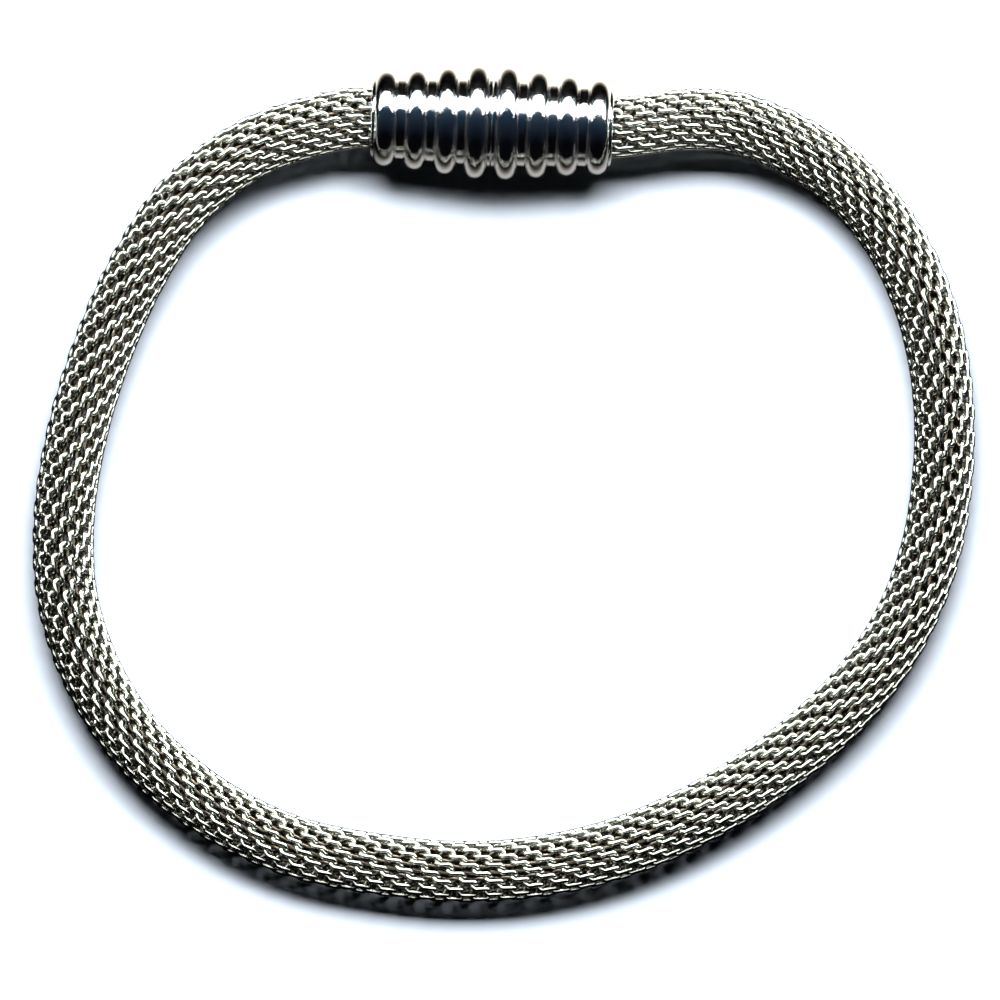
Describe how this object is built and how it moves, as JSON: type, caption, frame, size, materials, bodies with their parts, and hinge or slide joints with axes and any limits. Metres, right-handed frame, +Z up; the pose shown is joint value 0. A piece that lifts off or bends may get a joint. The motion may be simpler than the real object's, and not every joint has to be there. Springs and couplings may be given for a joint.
{
  "type": "mesh bracelet",
  "caption": "Bracelet of hollow woven steel mesh tube, closed by a ribbed magnetic barrel clasp and lying flat as one loop.",
  "frame": {"origin": "on the surface that the bracelet lies on, under the middle of its bounding box", "axes": "+X along the clasp, which is the loop's longest side; +Y across the loop towards the clasp; +Z up from the surface"},
  "size_m": [0.0696, 0.0621, 0.0084],
  "materials": {
    "mesh_steel": "bright drawn stainless steel wire",
    "clasp_steel": "mirror-polished stainless steel",
    "magnet_plating": "nickel plating"
  },
  "bodies": {
    "root": {"mesh_tube": "mesh_steel", "clasp_half_left": "clasp_steel", "clasp_half_right": "clasp_steel", "clasp_magnet": "magnet_plating"}
  },
  "joints": []
}
